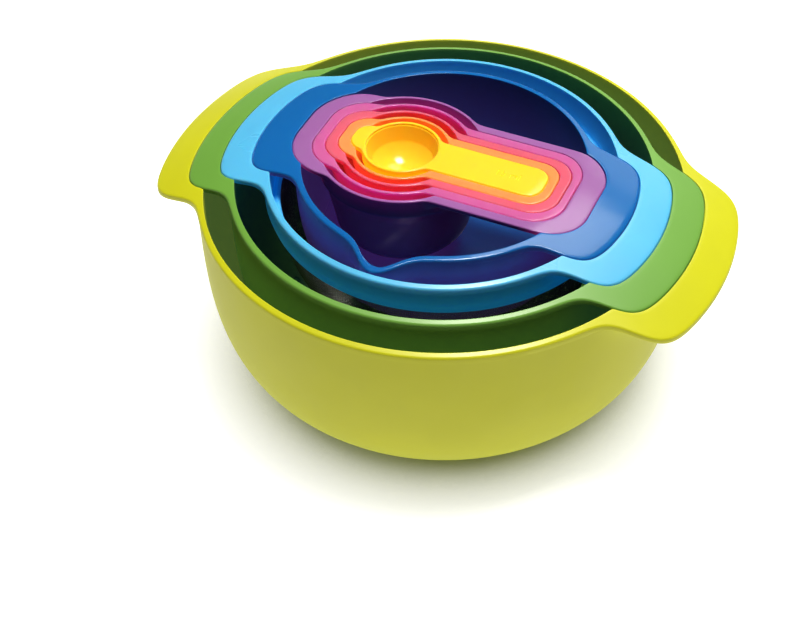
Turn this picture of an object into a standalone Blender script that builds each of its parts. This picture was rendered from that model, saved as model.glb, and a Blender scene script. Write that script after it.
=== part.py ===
"""Nesting kitchen set: two mixing bowls, a colander, a sieve, four measuring cups and a spoon.

Every rim and handle lies on one shared dome, so each vessel drops into a shallow recess in the
handles of the next larger one. Frame: +Z up, origin on the table under the large bowl's centre,
handles along X, the small bowl's pour spout toward -Y. Units are metres.
"""
import math

import bmesh
import bpy
from mathutils import Matrix

# ---- driving dimensions -------------------------------------------------------------------
RIM_Z = 0.1130              # rim plane of the large bowl above the table
BOWL_R = 0.1280             # inner rim radius of the large bowl
COLANDER_R = 0.1112
SIEVE_R = 0.0922
SMALL_R = 0.0755
DOME_RISE = 0.0224          # rise of the shared dome at the centre over the large rim
CROWN = 0.01466             # flat top of the dome, where the cups lie
CROWN_BLEND = 0.0006        # softness of the edge of that flat top
STEP = 0.00015              # each inner vessel stands this much proud of the next outer one
WALL = 0.0020               # wall of the colander, the sieve frame and the small bowl
LARGE_WALL = 0.0030         # the large bowl is moulded thicker
FLANGE = 0.0033             # width of a bowl's rim
RECESS = 0.0026             # depth of the handle recess that takes the next handle
SEAT_GAP = 0.0005           # gap round a handle in its recess
SMALL_RECESS = 0.0023       # the same recess in the small bowl, for the largest cup
WALL_DROP = 0.0012          # how far under the recess floor a bowl's wall starts
CUP_WALL_DROP = 0.0008
TIPS = {"large": 0.1572, "colander": 0.1383, "sieve": 0.1208, "small": 0.1035}
HANDLE_HALF_DEG = {"large": 25.8, "colander": 26.8, "sieve": 27.4, "small": 27.4}
HANDLE_SOFT_DEG = {"large": 2.0, "colander": 2.1, "sieve": 2.3, "small": 2.5}
BASE_R = {"large": 0.0540, "colander": 0.0500, "small": 0.0300}
DEPTH = {"large": 0.1075, "colander": 0.1010, "small": 0.0610}
ROUNDNESS = {"large": 3.5, "colander": 3.25, "small": 3.5}
WALL_TURNS = (72, 52, 32, 13)              # where a bowl's wall has its rings, in degrees
LARGE_WALL_TURNS = (80, 66, 52, 38, 24, 10)
SPOUT_OUT = 0.0124          # how far the small bowl's spout stands out at the rim
SPOUT_DEG = 9.0
SPOUT_FALL = 0.0300         # depth at which the spout has died out
SPOUT_CURVE = 1.3
SKIRT = 0.0180              # height of the sieve's plastic skirt
SKIRT_TAPER = 0.0012
MESH_T = 0.0008
MESH_R = 0.0889             # outer radius of the sieve's wire bowl at its top
MESH_LAP = 0.0040           # the wire bowl starts this far above the skirt's lower edge
MESH_DEPTH = 0.0820
CUP_X = -0.0245             # the cups' common centre
CUP_WALL = 0.0013
CUP_LIP = 0.0018
CUP_SOFT = 0.0010           # rounding where a cup's handle meets its ring
MESH_ROUNDNESS = 0.9
BASE_RING = {"large": (0.0420, 0.0525), "small": (0.0215, 0.0285)}    # inner and outer radius
LARGE_BASE_T = 0.0022
SMALL_BASE_T = 0.0020
BASE_GAP = 0.0003           # left between a base ring and its bowl
HOLE_R = 0.0024
HOLE_SIDES = 6
HOLE_LENGTH = 0.0300
HOLE_ROWS = ((0.0200, 8), (0.0360, 14))              # row radius and number of holes
WALL_HOLE_ROWS = ((0.0560, 18), (0.0720, 18))
WALL_HOLE_LEAN = 0.1200     # the wall's holes point at the axis from this height

# name, inner radius, depth, floor radius, fillet, right tip, half width, tip corner,
# left tip, left half width, left corner, height over the crown, recess floor under the crown
CUPS = (
    ("cup_250ml", 0.0430, 0.0520, 0.0360, 0.0120, 0.0845, 0.0343, 0.022,
     -0.0820, 0.0363, 0.028, 0.0000, 0.0058),
    ("cup_125ml", 0.0364, 0.0390, 0.0295, 0.0110, 0.0720, 0.0288, 0.018,
     -0.0707, 0.0290, 0.020, 0.0001, 0.0042),
    ("cup_85ml", 0.0303, 0.0360, 0.0255, 0.0090, 0.0675, 0.0229, 0.015,
     -0.0645, 0.0227, 0.016, 0.0002, 0.0026),
    ("cup_60ml", 0.0247, 0.0330, 0.0225, 0.0060, 0.0617, 0.0175, 0.012,
     -0.0585, 0.0165, 0.012, 0.0003, 0.0010),
    ("spoon_15ml", 0.0196, 0.0190, 0.0000, 0.0190, 0.0567, 0.0117, 0.0085,
     -0.0526, 0.0100, 0.008, 0.0008, None),
)
CUP_COLOURS = ((0.42, 0.13, 0.42, 1), (0.75, 0.06, 0.25, 1), (0.80, 0.05, 0.06, 1),
               (0.90, 0.22, 0.04, 1), (0.95, 0.72, 0.02, 1))
COLOURS = {"large": (0.60, 0.62, 0.03, 1), "colander": (0.14, 0.40, 0.07, 1),
           "sieve": (0.06, 0.52, 0.90, 1), "small": (0.02, 0.09, 0.42, 1),
           "steel": (0.42, 0.40, 0.38, 1), "grip": (0.30, 0.33, 0.05, 1),
           "grip_small": (0.02, 0.05, 0.20, 1)}

HANDLE_DEG = (0, 9, 15, 18.5, 21, 23.5, 26, 28.5, 31.5, 36, 45)
CUP_DEG = (0, 3.5, 7, 10.5, 14, 18, 22, 27, 33, 40, 46, 53, 66, 80, 95, 110, 124, 134, 143,
           152, 161, 169, 175, 180)


def softmin(a, b, soft):
    """Smaller of two values, with a rounded changeover."""
    low = min(a, b)
    return low - soft * math.log(math.exp((low - a) / soft) + math.exp((low - b) / soft))


def dome_z(x, y):
    """Height of the shared dome over the table."""
    rise = DOME_RISE * (1.0 - (x * x + y * y) / BOWL_R ** 2)
    return RIM_Z + softmin(rise, CROWN, CROWN_BLEND)


def bowl_angles(extra=()):
    """Angles round a bowl: close together beside the handles, wider elsewhere.

    extra holds further angles in degrees.
    """
    side = [45.0 + 11.25 * i for i in range(1, 8)]
    half = list(HANDLE_DEG) + side + [180.0 - a for a in reversed(HANDLE_DEG)]
    full = half + [360.0 - a for a in half[1:-1]]
    return [math.radians(a) for a in sorted(set(full) | set(extra))]


def cup_angles():
    full = list(CUP_DEG) + [360.0 - a for a in CUP_DEG[1:-1]]
    return [math.radians(a) for a in sorted(full)]


def off_axis_deg(angle):
    """Degrees between a direction and the nearer handle's centre line."""
    deg = abs(math.degrees(math.atan2(math.sin(angle), math.cos(angle))))
    return min(deg, 180.0 - deg)


def bowl_outline(key, ring, angle):
    """Radius of a bowl's outer edge: a ring that swells into two handles."""
    reach = (off_axis_deg(angle) - HANDLE_HALF_DEG[key]) / HANDLE_SOFT_DEG[key]
    return ring + (TIPS[key] - ring) / (1.0 + math.exp(reach))


def spout_bulge(angle):
    """How far the small bowl's rim is pushed out for its pour spout, at -Y."""
    turn = math.degrees(math.atan2(math.sin(angle), math.cos(angle))) + 90.0
    return SPOUT_OUT * math.exp(-(turn / SPOUT_DEG) ** 2)


def rounded_box(x, y, x0, x1, half, corner):
    """Signed distance to a rounded rectangle that is symmetric about the X axis."""
    qx = abs(x - 0.5 * (x0 + x1)) - 0.5 * (x1 - x0) + corner
    qy = abs(y) - half + corner
    return math.hypot(max(qx, 0.0), max(qy, 0.0)) + min(max(qx, qy), 0.0) - corner


def cup_distance(cup, x, y):
    """Signed distance to a cup's outline: a circle with a long handle and a short tab."""
    ring = math.hypot(x - CUP_X, y) - (cup[1] + CUP_LIP)
    handle = rounded_box(x, y, CUP_X, cup[5], cup[6], cup[7])
    tab = rounded_box(x, y, cup[8], CUP_X, cup[9], cup[10])
    return softmin(softmin(ring, handle, CUP_SOFT), tab, CUP_SOFT)


def cup_radius(cup, centre_x, angle, offset):
    """Distance from a point on the X axis to a cup's outline grown by offset."""
    inside = 0.0
    outside = BOWL_R
    for _ in range(40):
        middle = 0.5 * (inside + outside)
        x = centre_x + middle * math.cos(angle)
        y = middle * math.sin(angle)
        if cup_distance(cup, x, y) < offset:
            inside = middle
        else:
            outside = middle
    return inside


def bowl_wall(key, rim_r, fall, turns):
    """Rings of a bowl's rounded inner wall as (radius, depth), top to floor."""
    rings = []
    base = BASE_R[key]
    power = 2.0 / ROUNDNESS[key]
    for turn in turns:
        radius = base + (rim_r - base) * math.sin(math.radians(turn)) ** power
        rings.append((radius, fall * math.cos(math.radians(turn)) ** power))
    rings.append((base, fall))
    return rings


def cup_wall(cup, start):
    """Rings of a cup's inner wall as (radius, depth): a cone, a fillet and a floor."""
    radius, depth, floor_r, fillet = cup[1:5]
    rings = []
    if floor_r == 0.0:
        for turn in (74, 56, 38, 18):
            angle = math.radians(turn)
            rings.append((radius * math.sin(angle), depth * math.cos(angle)))
        return rings
    for turn in (90, 48, 8):
        angle = math.radians(turn)
        ring_r = floor_r - fillet + fillet * math.sin(angle)
        rings.append((ring_r, depth - fillet + fillet * math.cos(angle)))
    return [ring for ring in rings if ring[1] > start]


def ring_points(centre_x, angles, radii, heights):
    points = []
    for angle, radius, height in zip(angles, radii, heights):
        points.append((centre_x + radius * math.cos(angle), radius * math.sin(angle), height))
    return points


def add_material(obj, colour, roughness, metallic=0.0):
    material = bpy.data.materials.new(obj.name + "_material")
    material.use_nodes = True
    shader = material.node_tree.nodes["Principled BSDF"]
    shader.inputs["Base Color"].default_value = colour
    shader.inputs["Roughness"].default_value = roughness
    shader.inputs["Metallic"].default_value = metallic
    material.diffuse_color = colour
    obj.data.materials.append(material)


def link(name, mesh, collection, origin_x=0.0):
    """Link a mesh whose points are in world space, with its origin on its lift axis."""
    for vertex in mesh.vertices:
        vertex.co.x -= origin_x
    obj = bpy.data.objects.new(name, mesh)
    obj.location.x = origin_x
    collection.objects.link(obj)
    return obj


def loft_shell(name, rings, thickness, collection, origin_x=0.0, floor=True):
    """Shell whose upper surface is lofted through closed rings, outermost first."""
    mesh = bpy.data.meshes.new(name)
    build = bmesh.new()
    loops = [[build.verts.new(point) for point in ring] for ring in rings]
    count = len(rings[0])
    for outer, inner in zip(loops, loops[1:]):
        for i in range(count):
            j = (i + 1) % count
            build.faces.new((outer[i], outer[j], inner[j], inner[i]))
    if floor:
        build.faces.new(loops[-1])
    build.normal_update()
    build.to_mesh(mesh)
    build.free()
    obj = link(name, mesh, collection, origin_x)
    solid = obj.modifiers.new("wall", "SOLIDIFY")
    solid.thickness = thickness
    solid.offset = -1.0
    solid.use_even_offset = True
    solid.use_quality_normals = True
    mesh.shade_smooth()
    mesh.set_sharp_from_angle(angle=math.radians(35))
    return obj


def seat_rings(angles, centre_x, rim, outline, seat, step, recess, wall_drop):
    """Four rings at a rim: outer edge, recess edge, recess floor and the top of the wall.

    rim, outline and seat are radii per angle. Where the seat is wider than the rim there is a
    recess for the next handle; elsewhere the same rings run a little way down the wall.
    """
    edge = []
    lip = []
    floor = []
    wall_top = []
    for angle, rim_r, out_r, seat_r in zip(angles, rim, outline, seat):
        def point(radius, drop):
            x = centre_x + radius * math.cos(angle)
            y = radius * math.sin(angle)
            return (x, y, dome_z(x, y) + step - drop)
        open_here = seat_r > rim_r + 1e-6
        lip_r = seat_r if open_here else rim_r
        edge.append(point(out_r, 0.0))
        lip.append(point(lip_r, 0.0))
        floor.append(point(lip_r, recess))
        x, y, z = point(rim_r, recess if open_here else recess + wall_drop)
        wall_top.append((x, y, z))
    return [edge, lip, floor, wall_top]


def bowl_rings(key, rim_r, level, child, turns, angles, bulge=None):
    """All rings of a bowl; child gives the outline radius of the vessel it takes."""
    step = STEP * level
    bulges = [bulge(a) if bulge else 0.0 for a in angles]
    rim = [rim_r + b for b in bulges]
    outline = [bowl_outline(key, rim_r + FLANGE, a) + b for a, b in zip(angles, bulges)]
    seat = [child(a) for a in angles]
    recess = SMALL_RECESS if key == "small" else RECESS
    rings = seat_rings(angles, 0.0, rim, outline, seat, step, recess, WALL_DROP)
    if key not in DEPTH:
        return rings
    top = dome_z(rim_r, 0.0) + step
    for radius, depth in bowl_wall(key, rim_r, DEPTH[key], turns):
        fade = max(0.0, 1.0 - depth / SPOUT_FALL) ** SPOUT_CURVE
        radii = [radius + b * fade for b in bulges]
        rings.append(ring_points(0.0, angles, radii, [top - depth] * len(angles)))
    return rings


def grown(key, ring_r):
    """Outline of the vessel that sits in a handle recess, grown by the gap round it."""
    return lambda angle: bowl_outline(key, ring_r + FLANGE, angle) + SEAT_GAP


def cup_rings(cup, child):
    angles = cup_angles()
    count = len(angles)
    rim = [cup[1]] * count
    outline = [cup_radius(cup, CUP_X, a, 0.0) for a in angles]
    step = cup[11]
    if child is None:
        seat = rim
        recess = WALL_DROP
    else:
        seat = [cup_radius(child, CUP_X, a, SEAT_GAP) for a in angles]
        recess = cup[12] + step
    rings = seat_rings(angles, CUP_X, rim, outline, seat, step, recess, CUP_WALL_DROP)
    if child is None:
        rings = [rings[0], rings[1]]
    top = RIM_Z + CROWN + step
    for radius, depth in cup_wall(cup, recess + CUP_WALL_DROP):
        rings.append(ring_points(CUP_X, angles, [radius] * count, [top - depth] * count))
    return rings


def turned(name, profile, collection, steps, closed):
    """Turned shape: a profile at +X, run round Z by a Screw modifier."""
    mesh = bpy.data.meshes.new(name)
    edges = [(i, i + 1) for i in range(len(profile) - 1)]
    if closed:
        edges.append((len(profile) - 1, 0))
    mesh.from_pydata([(r, 0.0, z) for r, z in profile], edges, [])
    obj = link(name, mesh, collection)
    screw = obj.modifiers.new("turn", "SCREW")
    screw.axis = "Z"
    screw.angle = math.tau
    screw.steps = steps
    screw.render_steps = steps
    screw.use_merge_vertices = True
    screw.merge_threshold = 0.0001
    screw.use_normal_calculate = False
    screw.use_smooth_shade = True
    return obj


def base_ring(name, inner_r, outer_r, low, high, collection):
    profile = [(outer_r, high), (outer_r, low), (inner_r, low), (inner_r, high)]
    return turned(name, profile, collection, 36, True)


def wire_bowl(collection):
    """The sieve's woven bowl, as a thin dome that hangs inside the skirt."""
    top = dome_z(SIEVE_R, 0.0) + 2 * STEP - SKIRT + MESH_LAP
    profile = [(MESH_R, top)]
    for turn in (76, 60, 44, 28, 12, 0):
        angle = math.radians(turn)
        fall = MESH_LAP + (MESH_DEPTH - MESH_LAP) * math.cos(angle) ** MESH_ROUNDNESS
        radius = MESH_R * math.sin(angle) ** MESH_ROUNDNESS if turn else 0.0
        profile.append((radius, top - fall))
    obj = turned("sieve_mesh", profile, collection, 36, False)
    solid = obj.modifiers.new("wire", "SOLIDIFY")
    solid.thickness = MESH_T
    solid.offset = -1.0
    solid.use_even_offset = True
    return obj


def hole_cutter(collection):
    """All of the colander's drain holes as one cutter."""
    mesh = bpy.data.meshes.new("drain_holes")
    build = bmesh.new()
    floor_z = dome_z(COLANDER_R, 0.0) + STEP - DEPTH["colander"]
    for radius, number in HOLE_ROWS + WALL_HOLE_ROWS:
        for i in range(number):
            turn = math.tau * (i + 0.5 * (number % 4 == 2)) / number
            in_wall = (radius, number) in WALL_HOLE_ROWS
            lean = math.atan2(radius, WALL_HOLE_LEAN) if in_wall else 0.0
            add_drain_hole(build, radius, turn, lean, floor_z)
    build.to_mesh(mesh)
    build.free()
    cutter = bpy.data.objects.new("drain_holes", mesh)
    cutter.display_type = "WIRE"
    cutter.hide_render = True
    collection.objects.link(cutter)
    return cutter


def add_drain_hole(build, radius, turn, lean, floor_z):
    place = Matrix.Rotation(turn, 4, "Z") @ Matrix.Translation((radius, 0.0, floor_z))
    place = place @ Matrix.Rotation(-lean, 4, "Y")
    bmesh.ops.create_cone(build, cap_ends=True, segments=HOLE_SIDES, radius1=HOLE_R,
                          radius2=HOLE_R, depth=HOLE_LENGTH, matrix=place)


def clear_scene():
    for obj in list(bpy.data.objects):
        bpy.data.objects.remove(obj, do_unlink=True)


def new_collection(name):
    collection = bpy.data.collections.new(name)
    bpy.context.scene.collection.children.link(collection)
    return collection


def build_bowls(parts, cutters):
    angles = bowl_angles()
    turns = LARGE_WALL_TURNS
    rings = bowl_rings("large", BOWL_R, 0, grown("colander", COLANDER_R), turns, angles)
    large = loft_shell("large_bowl_shell", rings, LARGE_WALL, parts)
    add_material(large, COLOURS["large"], 0.35)
    turns = WALL_TURNS
    rings = bowl_rings("colander", COLANDER_R, 1, grown("sieve", SIEVE_R), turns, angles)
    colander = loft_shell("colander_shell", rings, WALL, parts)
    drain = colander.modifiers.new("drain", "BOOLEAN")
    drain.operation = "DIFFERENCE"
    drain.solver = "EXACT"
    drain.object = hole_cutter(cutters)
    add_material(colander, COLOURS["colander"], 0.35)
    rings = bowl_rings("sieve", SIEVE_R, 2, grown("small", SMALL_R), turns, angles)
    top = dome_z(SIEVE_R, 0.0) + 2 * STEP
    radii = [SIEVE_R - SKIRT_TAPER] * len(angles)
    rings.append(ring_points(0.0, angles, radii, [top - SKIRT] * len(angles)))
    frame = loft_shell("sieve_frame", rings, WALL, parts, floor=False)
    add_material(frame, COLOURS["sieve"], 0.3)
    add_material(wire_bowl(parts), COLOURS["steel"], 0.35, 1.0)
    angles = bowl_angles(extra=(258, 264, 267, 273, 276, 282))
    rings = bowl_rings("small", SMALL_R, 3, small_seat, turns, angles, spout_bulge)
    add_material(loft_shell("small_bowl_shell", rings, WALL, parts), COLOURS["small"], 0.3)


def small_seat(angle):
    """Recess edge in the small bowl's handles, round the largest cup's handle and tab."""
    return cup_radius(CUPS[0], 0.0, angle, SEAT_GAP + 0.0002)


def build_base_rings(parts):
    inner_r, outer_r = BASE_RING["large"]
    large = base_ring("large_bowl_base_ring", inner_r, outer_r, 0.0, LARGE_BASE_T, parts)
    add_material(large, COLOURS["grip"], 0.7)
    inner_r, outer_r = BASE_RING["small"]
    high = dome_z(SMALL_R, 0.0) + 3 * STEP - DEPTH["small"] - WALL - BASE_GAP
    low = high - SMALL_BASE_T
    small = base_ring("small_bowl_base_ring", inner_r, outer_r, low, high, parts)
    add_material(small, COLOURS["grip_small"], 0.7)


def build_cups(parts):
    for number, cup in enumerate(CUPS):
        child = CUPS[number + 1] if number + 1 < len(CUPS) else None
        obj = loft_shell(cup[0], cup_rings(cup, child), CUP_WALL, parts, origin_x=CUP_X)
        add_material(obj, CUP_COLOURS[number], 0.28)


def main():
    clear_scene()
    parts = new_collection("nesting_bowl_set")
    cutters = new_collection("cutters")
    build_bowls(parts, cutters)
    build_base_rings(parts)
    build_cups(parts)


main()
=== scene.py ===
"""Looks of the nesting bowl set: fine mouldings, a woven wire bowl and procedural plastics.

Every moulding is one closed loft. A bowl's or a cup's section runs from the middle of the inner floor,
up the inner wall, over the recess that takes the next vessel's handle, across the rim or handle, round
the outer edge and down the outer wall to the middle of the underside. The sieve's frame has no floor,
and its section closes on itself. Lengths are metres in the CAD frame.
"""
import math

import bmesh
import bpy
import numpy as np
from mathutils import Matrix, Vector


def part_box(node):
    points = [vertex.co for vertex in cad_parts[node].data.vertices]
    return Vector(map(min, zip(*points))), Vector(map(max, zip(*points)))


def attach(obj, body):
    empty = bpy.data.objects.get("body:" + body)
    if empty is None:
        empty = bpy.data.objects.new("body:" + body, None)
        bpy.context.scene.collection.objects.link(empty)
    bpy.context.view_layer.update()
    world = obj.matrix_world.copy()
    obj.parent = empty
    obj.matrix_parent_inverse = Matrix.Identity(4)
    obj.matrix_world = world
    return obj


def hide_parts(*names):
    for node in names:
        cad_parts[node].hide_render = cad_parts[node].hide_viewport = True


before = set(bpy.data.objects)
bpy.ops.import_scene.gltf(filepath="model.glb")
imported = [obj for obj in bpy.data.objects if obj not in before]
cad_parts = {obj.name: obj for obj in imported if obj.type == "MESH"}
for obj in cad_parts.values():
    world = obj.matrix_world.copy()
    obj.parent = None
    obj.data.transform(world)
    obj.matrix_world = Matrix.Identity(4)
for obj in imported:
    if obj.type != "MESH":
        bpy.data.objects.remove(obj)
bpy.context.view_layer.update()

MM = 0.001

# ---- sizes taken from the frame -----------------------------------------------------------
FLANGE = 3.3 * MM           # width of a bowl's rim
RIM_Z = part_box("large_bowl_shell")[1].z
RADIUS = {
    "large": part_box("large_bowl_shell")[1].y - FLANGE,
    "colander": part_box("colander_shell")[1].y - FLANGE,
    "sieve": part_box("sieve_frame")[1].y - FLANGE,
    "small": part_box("small_bowl_shell")[1].y - FLANGE,
}
TIPS = {
    "large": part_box("large_bowl_shell")[1].x,
    "colander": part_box("colander_shell")[1].x,
    "sieve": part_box("sieve_frame")[1].x,
    "small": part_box("small_bowl_shell")[1].x,
}

# ---- the shared dome on which every rim and handle lies -----------------------------------
DOME_RISE = 22.4 * MM       # height that a full dome would have over the large bowl's rim
CROWN = 14.66 * MM          # height at which the dome is cut off level
CROWN_BLEND = 0.6 * MM
STEP = 0.15 * MM            # each bowl stands this much over the one around it

# ---- handles of the bowls -----------------------------------------------------------------
# half the angle that a handle takes up, and how gradually its sides leave the rim
HALF_DEG = {"large": 25.8, "colander": 26.8, "sieve": 27.4, "small": 27.4}
SOFT_DEG = {"large": 2.0, "colander": 2.1, "sieve": 2.3, "small": 2.5}
SIDE_ZONES = ((13.0, 39.0), (141.0, 167.0))     # degrees with fine steps, in each half turn
SPOUT_ZONE = (250.0, 290.0)
FINE_STEP = 0.5
COARSE_STEP = 1.0
RECESS = {"large": 2.6 * MM, "colander": 2.6 * MM, "sieve": 2.6 * MM, "small": 2.3 * MM}
GAP = 0.35 * MM             # seam round a handle in its recess
EDGE_R = 1.0 * MM           # rounding of a bowl's outer edge
INNER_EDGE_R = 0.35 * MM
EDGE_DROP = 3.4 * MM        # height of a handle's outer edge
UNDER_R = 0.9 * MM          # rounding below a handle's outer edge
HANDLE_RUN = 6.0 * MM       # reach past the rim at which that rounding is full
PLATE = 1.7 * MM            # plastic under a recess
COVE = 7.0 * MM             # fillet between a handle's underside and the wall
RECESS_SOFT = 0.4 * MM      # chamfer at both sides of a recess's floor
SHUT_STEP = 0.1 * MM        # keeps the rings apart where there is no recess
SHELF_OUT = 0.3 * MM        # how far outside the recess the underside reaches its depth
SHELF_FALL = 0.5 * MM       # fall of the underside on its way in to the wall

# ---- bowl bodies --------------------------------------------------------------------------
BASE_R = {"large": 54 * MM, "colander": 50 * MM, "small": 30 * MM}
DEPTH = {"large": 107.5 * MM, "colander": 101 * MM, "small": 61 * MM}
FLOOR_T = {"large": 3.0 * MM, "colander": 2.0 * MM, "small": 2.0 * MM}
ROUNDNESS = {"large": 3.5, "colander": 3.25, "small": 3.5}
FOOT_SHARE = 0.4            # what the outer foot gains on the floor, in floor thicknesses
FLOOR_SHARES = (0.05, 0.3, 0.55, 0.8)
WALL_TURNS = (0, 3, 7, 12, 18, 24, 30, 36, 42, 48, 54, 60, 66, 72, 77, 82, 86, 88.5, 89.4)
OUTER_RINGS = 26
SPOUT_OUT = 12.4 * MM       # how far the spout's lip reaches past the rim
SPOUT_DEG = 9.0             # about half its width
SPOUT_FALL = 30 * MM        # depth at which it has run out into the wall
SPOUT_CURVE = 1.3

# ---- sieve --------------------------------------------------------------------------------
SKIRT = 18 * MM             # depth of the skirt's lower edge below the rim
SKIRT_T = 2.0 * MM
SKIRT_R = 0.8 * MM          # rounding of the lower edge
INNER_FACE = ((16.0, 0.9), (12.0, 0.7), (7.0, 0.35))    # depth and reach inward, in millimetres
OUTER_FACE = ((13.5, 0.9), (15.5, 0.55))                # depth and reach outward
HEM_IN = 1.4 * MM           # how far the bead that grips the wire bowl reaches inside it
HEM_BULGE = 1.5 * MM
HEM_HALF = 1.6 * MM         # half the bead's height
MESH_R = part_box("sieve_mesh")[1].x
MESH_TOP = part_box("sieve_mesh")[1].z
MESH_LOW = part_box("sieve_mesh")[0].z
MESH_LAP = 4 * MM           # band at the top, which the frame holds
MESH_ROUNDNESS = 0.9
MESH_CLEAR = 0.1 * MM       # keeps the wires inside the CAD wire bowl's outside
WIRE_PITCH = 1.5 * MM
WIRE_D = 0.42 * MM

# ---- cups ---------------------------------------------------------------------------------
CUP_X = -24.5 * MM          # the cups' shared axis
CUP_LIP = 1.8 * MM
CUP_WALL = 1.3 * MM
CUP_SOFT = 1.0 * MM         # blend where a handle or a tab meets the round
CUP_EDGE_R = 0.75 * MM
CUP_EDGE_DROP = 2.6 * MM
CUP_UNDER_R = 0.6 * MM
CUP_HANDLE_RUN = 5.0 * MM
CUP_PLATE = 1.2 * MM
CUP_FALL_LEAST = 0.3 * MM   # from the outer edge's foot to the depth of the underside
CUP_COVE = 3.0 * MM
# in millimetres: inner radius, depth, floor radius and fillet; the handle's tip, half width and
# corner; the tab's tip, half width and corner; height over the crown, recess floor below it
CUP_KEYS = ("radius", "depth", "floor_r", "fillet", "right", "half", "corner",
            "left", "left_half", "left_corner", "over", "recess")
CUP_TABLE = {
    "cup_250ml": (43.0, 52.0, 36.0, 12.0, 84.5, 34.3, 22, -82.0, 36.3, 28, 0.0, 5.8),
    "cup_125ml": (36.4, 39.0, 29.5, 11.0, 72.0, 28.8, 18, -70.7, 29.0, 20, 0.1, 4.2),
    "cup_85ml": (30.3, 36.0, 25.5, 9.0, 67.5, 22.9, 15, -64.5, 22.7, 16, 0.2, 2.6),
    "cup_60ml": (24.7, 33.0, 22.5, 6.0, 61.7, 17.5, 12, -58.5, 16.5, 12, 0.3, 1.0),
    "spoon_15ml": (19.6, 19.0, 0.0, 19.0, 56.7, 11.7, 8.5, -52.6, 10.0, 8, 0.8, 0.0),
}
CUPS = {n: {k: v * MM for k, v in zip(CUP_KEYS, row)} for n, row in CUP_TABLE.items()}

SPOON_CREASE_R = 16.6 * MM
SPOON_CREASE_DEPTH = 9.6 * MM
SPOON_CAP = 8.6 * MM        # depth of the round bottom below the crease
SPOON_STEP = 1.0 * MM       # upright edge inside the spoon's lip
MARK_X = 36 * MM
MARK_SIZE = 6.5 * MM
MARK_DEPTH = 0.35 * MM

# ---- drain holes: rows as radius on the flat floor or turn up the wall, then number of holes
HOLE_R = 1.9 * MM
HOLE_CHAMFER = 0.4 * MM
FLOOR_HOLE_ROWS = ((9 * MM, 6), (19 * MM, 12), (29 * MM, 18), (39 * MM, 24))
WALL_HOLE_ROWS = ((3.0, 32), (8.0, 36), (16.0, 40), (26.0, 44))

# ---- base rings ---------------------------------------------------------------------------
RING_WIDTH = {"large": 10.5 * MM, "small": 7.0 * MM}
RING_LIFT = 0.3 * MM        # how far a ring reaches up into its bowl
RING_SOFT = 0.5 * MM
GROOVES = 3
GROOVE = ((0.0, 0.0), (0.12, 0.45), (0.38, 0.45), (0.5, 0.0))   # share of the pitch, depth in mm

# ---- colours, linear ----------------------------------------------------------------------
LIME = (0.60, 0.60, 0.020)
GREEN = (0.175, 0.380, 0.063)
SKY = (0.120, 0.50, 0.78)
BLUE = (0.0118, 0.150, 0.414)
PURPLE = (0.336, 0.147, 0.364)
MAGENTA = (0.585, 0.145, 0.343)
RED = (0.78, 0.145, 0.205)
ORANGE = (0.92, 0.315, 0.112)
YELLOW = (0.97, 0.61, 0.047)
LIME_GRIP = (0.26, 0.28, 0.03)
BLUE_GRIP = (0.012, 0.04, 0.15)
WIRE_DARK = (0.20, 0.19, 0.18)
WIRE_PALE = (0.34, 0.32, 0.30)
CUP_REACH = 12 * MM         # how near another surface has to be for a cup's painted glow to show
PURPLE_UPRIGHT_SHADE = 0.55          # painted shade: brightness of the purple cup's upright faces beside its level ones
# the cups from the outside in: node, body, colour's name, colour, glow, depth in mm, and the colour of the
# painted glow, emission painted into shaded gaps
NEST = (
    ("cup_250ml", "cup_250", "purple", PURPLE, 0.5, 8, (0.18, 0.014, 0.09)),
    ("cup_125ml", "cup_125", "magenta", MAGENTA, 1.0, 14, (0.10, 0.007, 0.0)),
    ("cup_85ml", "cup_85", "red", RED, 1.0, 14, (0.06, 0.008, 0.004)),
    ("cup_60ml", "cup_60", "orange", ORANGE, 0.9, 9, (0.16, 0.025, 0.012)),
    ("spoon_15ml", "spoon_15", "yellow", YELLOW, 0.6, 4, (0.42, 0.28, 0.003)),
)


# ---- materials ----------------------------------------------------------------------------
PLASTIC_IOR = 1.49
WAVE_DEPTH = 0.30 * MM
GRAIN_DEPTH = 0.008 * MM
UPRIGHT_MATT = 0.20         # roughness that upright faces have over level ones


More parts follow.
